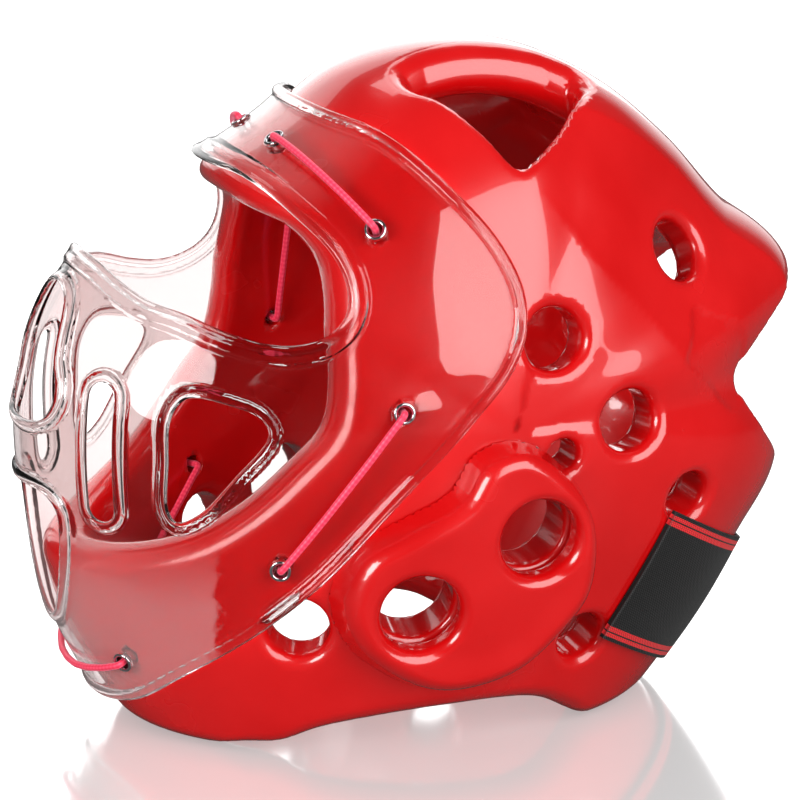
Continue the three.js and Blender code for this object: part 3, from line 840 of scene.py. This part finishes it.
brow, temple, cheek, jaw, chin = stations.values()
chin_middle = (chin[0], 0.0, chin[2])
brow_middle = lifted((brow[0], 0.0, brow[2]), UNDER)
left_route = [
    brow_middle, lifted(brow, UNDER), *run_over(brow, temple), lifted(temple, UNDER),
    lifted(cheek, UNDER), *run_over(cheek, jaw), lifted(jaw, UNDER), lifted(chin, UNDER),
    *run_over(chin, chin_middle, 5),
]
left_route = np.array(left_route)
right_route = left_route[1:-1][::-1] * (-1, 1, 1)
route = np.concatenate([left_route, right_route])


def even_path(points, spacing):
    """A closed path's points an even spacing apart."""
    closed = np.concatenate([points, points[:1]])
    run = np.concatenate([[0], np.cumsum(np.linalg.norm(np.diff(closed, axis=0), axis=1))])
    count = int(run[-1] / spacing)
    place = run[-1] * np.arange(count) / count
    return np.stack([np.interp(place, run, closed[:, k]) for k in range(3)], 1)


def soften(path, width):
    """Each point of a closed path averaged with its neighbours, twice."""
    kernel = np.ones(width) / width
    for _ in range(2):
        padded = np.concatenate([path[-width:], path, path[:width]])
        path = np.stack([np.convolve(padded[:, k], kernel, "same")[width:-width] for k in range(3)], 1)
    return path


lace_path = soften(even_path(route, LACE_STEP), 5)
lace_length = np.linalg.norm(np.roll(lace_path, -1, 0) - lace_path, axis=1).sum()
print("lace: loop of", round(lace_length), "mm,", len(lace_path), "rings")

# %% The lace's braided body
def carried_section(path, radius, sides):
    """A round section carried along a closed path. Its side direction is square to the path and
    to the way out of the form, averaged along the path so that it never flips in a hole."""
    ahead = unit(np.roll(path, -1, 0) - np.roll(path, 1, 0))
    far = np.roll(path, -40, 0) - np.roll(path, 40, 0)
    side = soften(np.cross(gradient(form_level, path), far), 31)
    side = unit(side - (side * ahead).sum(1)[:, None] * ahead)
    up = np.cross(side, ahead)
    turn = (-2 * np.pi * np.arange(sides) / sides)[None, :, None]
    spoke = np.cos(turn) * side[:, None, :] + np.sin(turn) * up[:, None, :]
    return path[:, None, :] + radius * spoke


LACE_SIDES = 14
lace_points = carried_section(lace_path, LACE, LACE_SIDES).reshape(-1, 3)
lace = mesh_piece("braided_lace", lace_points, grid_faces(len(lace_path), LACE_SIDES, True, True))


def length_and_turn(piece, rows, columns, length):
    """A UV map of a closed tube: u is millimetres along it, v is its turn from 0 to 1."""
    r = np.repeat(np.arange(rows), columns)
    c = np.tile(np.arange(columns), rows)
    u = np.stack([r, r + 1, r + 1, r], 1) * length / rows
    v = np.stack([c, c, c + 1, c + 1], 1) / columns
    uv_map(piece, "length", np.stack([u, v], 2))


length_and_turn(lace, len(lace_path), LACE_SIDES, lace_length)
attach(lace, "root")
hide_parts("lace")

# %% [markdown]
# ## The closure strap
#
# A broad woven elastic strap wraps the nape and pulls the two halves together over the slit. It
# lies between two parallel planes that fall towards the back. Each line of the strap is where
# such a plane meets the form, found by halving the distance along rays from inside, so the whole
# band is one grid of length and width with its thickness added both ways.

# %% The strap
STRAP_HALF = 25.0
STRAP_THICK = 1.8
STRAP_GAP, STRAP_WAVE = 0.45, 0.12
STRAP_TILT = math.radians(30)
strap_start = np.array([-0.349, -0.412]) * HALF_LENGTH
runway = np.array([-math.cos(STRAP_TILT), -math.sin(STRAP_TILT)])
widthway = np.array([-runway[1], runway[0]])


def strap_point(width, turn, reach):
    """Points at a turn and reach from the start line, in the plane at a width on the strap."""
    flat = strap_start + width[:, None] * widthway + (reach * np.cos(turn))[:, None] * runway
    return np.stack([reach * np.sin(turn), -flat[:, 0], flat[:, 1]], 1) + FORM_CENTRE


def strap_reach(width, turn):
    """The reach at which the form is met, by halving."""
    low, high = np.zeros_like(turn), np.full_like(turn, 220.0)
    for _ in range(34):
        middle = (low + high) / 2
        outside = form_level(strap_point(width, turn, middle)) > 1
        low, high = np.where(outside, low, middle), np.where(outside, middle, high)
    return (low + high) / 2


STRAP_TURNS, STRAP_WIDTHS = 181, 27
turns = np.linspace(math.pi / 2, -math.pi / 2, STRAP_TURNS)
widths = np.linspace(-STRAP_HALF, STRAP_HALF, STRAP_WIDTHS)
turn_grid, width_grid = (m.ravel() for m in np.meshgrid(turns, widths, indexing="ij"))
foot = strap_point(width_grid, turn_grid, strap_reach(width_grid, turn_grid))
strap_out = unit(gradient(form_level, foot))
edge_share = np.abs(width_grid) / STRAP_HALF
lift = STRAP_GAP + STRAP_WAVE * np.cos(np.pi * edge_share)
lower = foot + lift[:, None] * strap_out
upper = lower + STRAP_THICK * strap_out
lower_faces = grid_faces(STRAP_TURNS, STRAP_WIDTHS, False, False)


def rim_faces(rows, columns):
    """Quads that join the edge of a lower grid to the same edge of an upper grid."""
    count = rows * columns
    first = np.arange(columns)
    last = (rows - 1) * columns + first
    left, right = np.arange(rows) * columns, np.arange(rows) * columns + columns - 1
    loop = np.concatenate([first[:-1], right[:-1], last[::-1][:-1], left[::-1][:-1]])
    after = np.roll(loop, -1)
    return np.stack([loop, after, after + count, loop + count], 1)


strap_faces = np.concatenate([
    lower_faces[:, ::-1], lower_faces + len(foot), rim_faces(STRAP_TURNS, STRAP_WIDTHS),
])
strap = mesh_piece("elastic_closure_strap", np.concatenate([lower, upper]), strap_faces)

middle_line = foot.reshape(STRAP_TURNS, STRAP_WIDTHS, 3)[:, STRAP_WIDTHS // 2]
strap_run = np.concatenate([[0], np.cumsum(np.linalg.norm(np.diff(middle_line, axis=0), axis=1))])
strap_uv = np.stack([np.repeat(strap_run, STRAP_WIDTHS), width_grid], 1)
uv_map(strap, "weave", np.concatenate([strap_uv, strap_uv])[corner_vertices(strap)])
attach(strap, "root")
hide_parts("closure_strap")
print("strap:", round(strap_run[-1]), "mm along its middle")

# %% [markdown]
# ## Materials
#
# A finish is a small graph of nodes. One helper adds a node with its settings and links, a few
# short ones wrap the kinds that come up again and again, and one function turns the hex colours
# of a paint chart into the linear values that light is added in.

# %% Material helpers
def linear(code, alpha=1.0):
    """An sRGB hex colour as linear values."""
    channels = np.array([int(code[i : i + 2], 16) for i in (1, 3, 5)]) / 255
    low, high = channels / 12.92, ((channels + 0.055) / 1.055) ** 2.4
    return (*np.where(channels <= 0.04045, low, high).tolist(), alpha)


def add(material, kind, settings=None, links=None, **attributes):
    """Adds a node: attributes set its options, settings its socket values and links its inputs."""
    node = material.node_tree.nodes.new(kind)
    for key, value in attributes.items():
        setattr(node, key, value)
    for socket, value in (settings or {}).items():
        node.inputs[socket].default_value = value
    for socket, source in (links or {}).items():
        material.node_tree.links.new(source, node.inputs[socket])
    return node


def maths(material, operation, *values):
    """The result of a maths node. Each value is a number or another node's output."""
    node = add(material, "ShaderNodeMath", operation=operation)
    for socket, value in enumerate(values):
        if isinstance(value, float):
            node.inputs[socket].default_value = value
        else:
            material.node_tree.links.new(value, node.inputs[socket])
    return node.outputs[0]


def mapped(material, value, low, high, start=0.0, end=1.0):
    """From start to end as a value goes from low to high, and level beyond."""
    settings = {"From Min": low, "From Max": high, "To Min": start, "To Max": end}
    return add(material, "ShaderNodeMapRange", settings, {"Value": value}).outputs["Result"]


def noise(material, place, scale, detail, roughness=0.5):
    """The grey value of a noise texture at a place."""
    settings = {"Scale": scale, "Detail": detail, "Roughness": roughness}
    return add(material, "ShaderNodeTexNoise", settings, {"Vector": place}).outputs["Fac"]


def bump(material, strength, distance, height, normal=None):
    """The surface direction tilted by a height, on top of another tilt where one is given."""
    links = {"Height": height} if normal is None else {"Height": height, "Normal": normal}
    settings = {"Strength": strength, "Distance": distance}
    return add(material, "ShaderNodeBump", settings, links).outputs["Normal"]


def own_place(material):
    """The place on the piece itself, in metres."""
    return add(material, "ShaderNodeTexCoord").outputs["Object"]


def new_material(name):
    """An empty node material and its output node."""
    material = bpy.data.materials.new(name)
    material.use_nodes = True
    material.node_tree.nodes.clear()
    return material, add(material, "ShaderNodeOutputMaterial")


def ramp(material, source, stops):
    """A colour ramp between hex colours, or grey values, at given places."""
    node = add(material, "ShaderNodeValToRGB", links={"Fac": source})
    elements = node.color_ramp.elements
    while len(elements) < len(stops):
        elements.new(0.5)
    for element, (place, value) in zip(elements, stops):
        element.position = place
        element.color = linear(value) if isinstance(value, str) else (value, value, value, 1.0)
    return node.outputs["Color"]


def dress(pieces, material, shader, output):
    """Ends a material with a shader and gives it to pieces."""
    material.node_tree.links.new(shader, output.inputs["Surface"])
    for piece in pieces:
        piece.data.materials.clear()
        piece.data.materials.append(material)


# %% [markdown]
# ### Dipped vinyl skin
#
# The foam was dipped in liquid vinyl and cured. That leaves a thick, wet-looking gloss with a
# faint orange peel about a millimetre across, and a few specks of dust caught under it. The peel
# is a noise bump so low that only the edges of reflections shiver. The colour varies a little
# with the thickness of the skin.

# %% Dipped vinyl skin
vinyl, vinyl_out = new_material("dipped_vinyl_skin")
place = own_place(vinyl)
cloud = noise(vinyl, place, 28.0, 3.0)
specks = add(vinyl, "ShaderNodeTexVoronoi", {"Scale": 60.0}, {"Vector": place}, feature="F1")
speck_dots = mapped(vinyl, specks.outputs["Distance"], 0.02, 0.035, 1.0, 0.0)
skin_colour = ramp(vinyl, cloud, [(0.3, "#be0608"), (0.7, "#ca090c")])
gloss = ramp(vinyl, cloud, [(0.3, 0.2), (0.7, 0.28)])
peel = bump(vinyl, 0.1, 0.0002, noise(vinyl, place, 800.0, 2.0))
peel = bump(vinyl, 0.08, 0.002, noise(vinyl, place, 45.0, 1.0), peel)
peel = bump(vinyl, 0.25, 0.0003, speck_dots, peel)
skin = add(
    vinyl, "ShaderNodeBsdfPrincipled",
    {"IOR": 1.5, "Coat Weight": 0.9, "Coat Roughness": 0.03, "Coat IOR": 1.5},
    {"Base Color": skin_colour, "Roughness": gloss, "Normal": peel},
)
dress([guard, ear_pad_left, ear_pad_right], vinyl, skin.outputs["BSDF"], vinyl_out)

# %% [markdown]
# ### Clear polycarbonate
#
# The mask is clear plastic with a faint warm grey cast. Real thickness is modelled, so a glass
# shader bends light at the beads by itself. Light paths let lamps shine straight through it,
# because the foam behind would otherwise lie in the dark.

# %% Clear polycarbonate
clear, clear_out = new_material("clear_polycarbonate")
place = own_place(clear)
ripple = bump(clear, 0.06, 0.001, noise(clear, place, 30.0, 1.0))
sheet_shader = add(
    clear, "ShaderNodeBsdfPrincipled",
    {"Base Color": linear("#dccfce"), "IOR": 1.42, "Roughness": 0.025, "Transmission Weight": 1.0},
    {"Normal": ripple},
)
passing = add(clear, "ShaderNodeBsdfTransparent", {"Color": linear("#fcf8f8")})
shadow_ray = add(clear, "ShaderNodeLightPath").outputs["Is Shadow Ray"]
both = add(
    clear, "ShaderNodeMixShader",
    links={"Fac": shadow_ray, 1: sheet_shader.outputs["BSDF"], 2: passing.outputs["BSDF"]},
)

# %% The pressed contact patch under the chin
# Behind the chin the sheet touches the vinyl and the air between is squeezed out, which leaves
# a clear patch with a ragged edge beside a hazy one. The haze is painted reflection: a thin milky
# diffuse layer stands in for the sheen of the air gap.
PATCH_EDGE, GAP_SHEEN, GAP_SHEEN_FADES, GAP_SHEEN_ENDS = -0.0775, 0.07, 0.055, 0.08
ragged = noise(clear, place, 70.0, 4.0, 0.6)
axes = add(clear, "ShaderNodeSeparateXYZ", links={"Vector": place})
ragged_way = maths(clear, "MULTIPLY_ADD", ragged, 0.016, axes.outputs["Y"])
in_front = mapped(clear, ragged_way, PATCH_EDGE, PATCH_EDGE - 0.001)
chin_only = mapped(clear, axes.outputs["Z"], GAP_SHEEN_FADES, GAP_SHEEN_ENDS, GAP_SHEEN, 0.0)
# Painted reflection: a white diffuse layer in place of the air gap's sheen, in front of the patch.
painted_gap_sheen = add(clear, "ShaderNodeBsdfDiffuse", {"Color": linear("#fff2f3")})
with_gap_sheen = add(
    clear, "ShaderNodeMixShader",
    links={"Fac": maths(clear, "MULTIPLY", in_front, chin_only), 1: both.outputs["Shader"],
           2: painted_gap_sheen.outputs["BSDF"]},
)
dress([mask], clear, with_gap_sheen.outputs["Shader"], clear_out)

# %% [markdown]
# ### Braided elastic, woven elastic and chrome
#
# The lace is a braid: two sets of strands that cross on a slant, about 2 mm apart. The strap is
# woven ribs 0.9 mm apart with a band of red stitching along both edges. Both patterns follow the
# piece, so they read its own UV map, in millimetres or, round the lace, as a share of a turn.
# The ferrules are plated steel.

# %% Braided elastic
STRANDS, STRAND_LENGTH = 3, 3.6


def waves(material, value, length):
    """A sine wave of a length along a value."""
    return maths(material, "SINE", maths(material, "MULTIPLY", value, 2 * math.pi / length))


def own_map(material, name):
    """A piece's UV map and its two parts."""
    uv = add(material, "ShaderNodeUVMap", uv_map=name).outputs["UV"]
    parts = add(material, "ShaderNodeSeparateXYZ", links={"Vector": uv})
    return uv, parts.outputs["X"], parts.outputs["Y"]


braid, braid_out = new_material("braided_elastic")
uv, along, round_lace = own_map(braid, "length")
along = maths(braid, "MULTIPLY", along, 2 * math.pi / STRAND_LENGTH)
round_lace = maths(braid, "MULTIPLY", round_lace, 2 * math.pi * STRANDS)
one_way, other_way = (
    maths(braid, "SINE", maths(braid, way, along, round_lace)) for way in ("ADD", "SUBTRACT")
)
strands = mapped(braid, maths(braid, "MULTIPLY", one_way, other_way), -1.0, 1.0)
braid_shader = add(
    braid, "ShaderNodeBsdfPrincipled",
    {"Roughness": 0.5, "Sheen Weight": 1.0, "Sheen Roughness": 0.35, "Sheen Tint": linear("#ff9db4")},
    {"Base Color": ramp(braid, strands, [(0.1, "#ea2248"), (0.55, "#f43458"), (0.95, "#ff5874")]),
     "Normal": bump(braid, 0.25, 0.0003, strands)},
)
dress([lace], braid, braid_shader.outputs["BSDF"], braid_out)

# %% Woven elastic
RIB, PICK = 0.9, 1.3
STITCH_MIDDLE, STITCH_HALF, STITCH_GAP, STITCH_GAP_HALF = 21.8, 1.9, 22.0, 0.25
weave, weave_out = new_material("woven_elastic")
uv, along, across = own_map(weave, "weave")
cloth = maths(weave, "MULTIPLY", waves(weave, across, RIB), waves(weave, along, PICK))
cloth = mapped(weave, cloth, -1.0, 1.0)
fleck = noise(weave, uv, 3.2, 4.0)
yarn = ramp(weave, fleck, [(0.35, "#090909"), (0.62, "#131212"), (0.72, "#262524")])
thread = ramp(weave, cloth, [(0.2, "#8e0f14"), (0.8, "#ee2328")])
from_middle = maths(weave, "ABSOLUTE", across)
stitch = maths(
    weave, "SUBTRACT", maths(weave, "COMPARE", from_middle, STITCH_MIDDLE, STITCH_HALF),
    maths(weave, "COMPARE", from_middle, STITCH_GAP, STITCH_GAP_HALF),
)
strap_colour = add(weave, "ShaderNodeMix", links={0: stitch, 6: yarn, 7: thread}, data_type="RGBA")
weave_shader = add(
    weave, "ShaderNodeBsdfPrincipled",
    {"Roughness": 0.85, "Specular IOR Level": 0.3, "Sheen Weight": 0.08, "Sheen Roughness": 0.5},
    {"Base Color": strap_colour.outputs[2], "Normal": bump(weave, 0.7, 0.0003, cloth)},
)
dress([strap], weave, weave_shader.outputs["BSDF"], weave_out)

# %% Chromed steel
chrome, chrome_out = new_material("chromed_steel")
wear = noise(chrome, own_place(chrome), 900.0, 2.0)
plate = add(
    chrome, "ShaderNodeBsdfPrincipled", {"Base Color": linear("#d9d9dc"), "Metallic": 1.0},
    {"Roughness": ramp(chrome, wear, [(0.3, 0.08), (0.75, 0.24)])},
)
dress(ferrules, chrome, plate.outputs["BSDF"], chrome_out)

# %% [markdown]
# ## Floor, lamps and surroundings
#
# The photograph is a pale studio shot: white all round and a soft mirror image under the guard,
# yet the gloss shows a dark room with a few large soft boxes. So the surroundings are white
# where the camera looks at them, straight or through the mask, and dim where the vinyl mirrors
# them. Each lamp stands where the vinyl's highlights say that the real one stood.

# %% Floor
FLOOR_HALF, FLOOR_TOP = 3000.0, -0.6
STRAIGHT_BACK = (-0.94, 0.34, 0.0)
floor_corners = np.array([
    (x * FLOOR_HALF, y * FLOOR_HALF, FLOOR_TOP) for x, y in ((-1, -1), (1, -1), (1, 1), (-1, 1))
])
floor = mesh_piece("floor", floor_corners, np.array([[0, 1, 2, 3]]), False)


def far_back(material, place):
    """How far a place or a direction lies along the camera's level way to the back."""
    node = add(
        material, "ShaderNodeVectorMath", {1: STRAIGHT_BACK}, {0: place}, operation="DOT_PRODUCT"
    )
    return node.outputs["Value"]


def looked_at(material, place, start, end):
    """1 where the camera looks, straight or through the clear mask, and 0 elsewhere. Behind the
    guard, from a start to an end along that way, all that comes through the mask counts."""
    path = add(material, "ShaderNodeLightPath")
    behind = mapped(material, far_back(material, place), start, end)
    through = maths(material, "MULTIPLY", path.outputs["Is Transmission Ray"], behind)
    return maths(material, "MAXIMUM", path.outputs["Is Camera Ray"], through)


FLOOR_BOUNCE = 0.4
pale, pale_out = new_material("pale_studio_floor")
place = own_place(pale)
grain = ramp(pale, noise(pale, place, 9.0, 2.0), [(0.3, "#aeaeae"), (0.7, "#b2b2b2")])
table = add(
    pale, "ShaderNodeBsdfPrincipled",
    {"Specular IOR Level": 0.0, "Emission Color": linear("#ffffff"), "Emission Strength": 0.75},
    {"Base Color": grain},
)
mirror = add(pale, "ShaderNodeBsdfGlossy", {"Roughness": 0.1, "Color": linear("#ffffff")})
top = add(
    pale, "ShaderNodeMixShader", {"Fac": 0.5}, {1: table.outputs["BSDF"], 2: mirror.outputs["BSDF"]}
)
dim = add(pale, "ShaderNodeBsdfDiffuse", {"Color": linear("#555555")})
diffuse_ray = add(pale, "ShaderNodeLightPath").outputs["Is Diffuse Ray"]
bounce = maths(pale, "MULTIPLY", diffuse_ray, FLOOR_BOUNCE)
bright = maths(pale, "MAXIMUM", looked_at(pale, place, -0.13, -0.11), bounce)
seen_floor = add(
    pale, "ShaderNodeMixShader", links={"Fac": bright, 1: dim.outputs["BSDF"], 2: top.outputs["Shader"]}
)
dress([floor], pale, seen_floor.outputs["Shader"], pale_out)

# %% Lamps
def soft_box(name, azimuth, elevation, half_wide, half_tall, radiance, distance=1.5, shape="RECTANGLE"):
    """A flat lamp seen from the guard at a direction, with half angles in degrees. Its power is
    pi times the area of its rectangle times its radiance."""
    data = bpy.data.lights.new(name, "AREA")
    data.shape = shape
    data.size = 2 * distance * math.tan(math.radians(half_wide))
    data.size_y = 2 * distance * math.tan(math.radians(half_tall))
    data.energy = math.pi * data.size * data.size_y * radiance
    lamp = bpy.data.objects.new(name, data)
    lamp.location = look_from(azimuth, elevation, distance, target).tolist()
    face_point(lamp, target)
    lamp.visible_camera = False
    bpy.context.scene.collection.objects.link(lamp)
    print(name, "at", np.round(lamp.location, 2).tolist(), round(data.energy, 1), "W")


soft_box("side_box", 108, 24, 22, 25, 4.4)
soft_box("front_box", 31, 14, 13, 12, 9.0, shape="ELLIPSE")
soft_box("far_box", 232, 47, 11, 12, 2.6)
soft_box("back_wall", 262, 22, 30, 20, 1.1, 2.4)
soft_box("top_box", 269, 64, 9, 8, 2.6)

# %% Surroundings
ROOM_LIGHT, ROOM_IN_GLOSS, ROOM_SEEN = 0.5, 0.04, 1.1
world = bpy.data.worlds.new("studio")
world.use_nodes = True
glossy_ray = add(world, "ShaderNodeLightPath").outputs["Is Glossy Ray"]
dim_room = add(
    world, "ShaderNodeMix", {2: ROOM_LIGHT, 3: ROOM_IN_GLOSS}, {0: glossy_ray}, data_type="FLOAT"
)
direction = add(world, "ShaderNodeTexCoord").outputs["Generated"]
white_wall = mapped(world, far_back(world, direction), 0.8, 0.95)
white = maths(world, "MAXIMUM", looked_at(world, direction, -0.3, 0.1), white_wall)
room = add(
    world, "ShaderNodeMix", {3: ROOM_SEEN}, {0: white, 2: dim_room.outputs[0]}, data_type="FLOAT"
)
background = world.node_tree.nodes["Background"]
background.inputs["Color"].default_value = linear("#ffffff")
world.node_tree.links.new(room.outputs[0], background.inputs["Strength"])
bpy.context.scene.world = world
bpy.context.scene.view_settings.view_transform = "Standard"
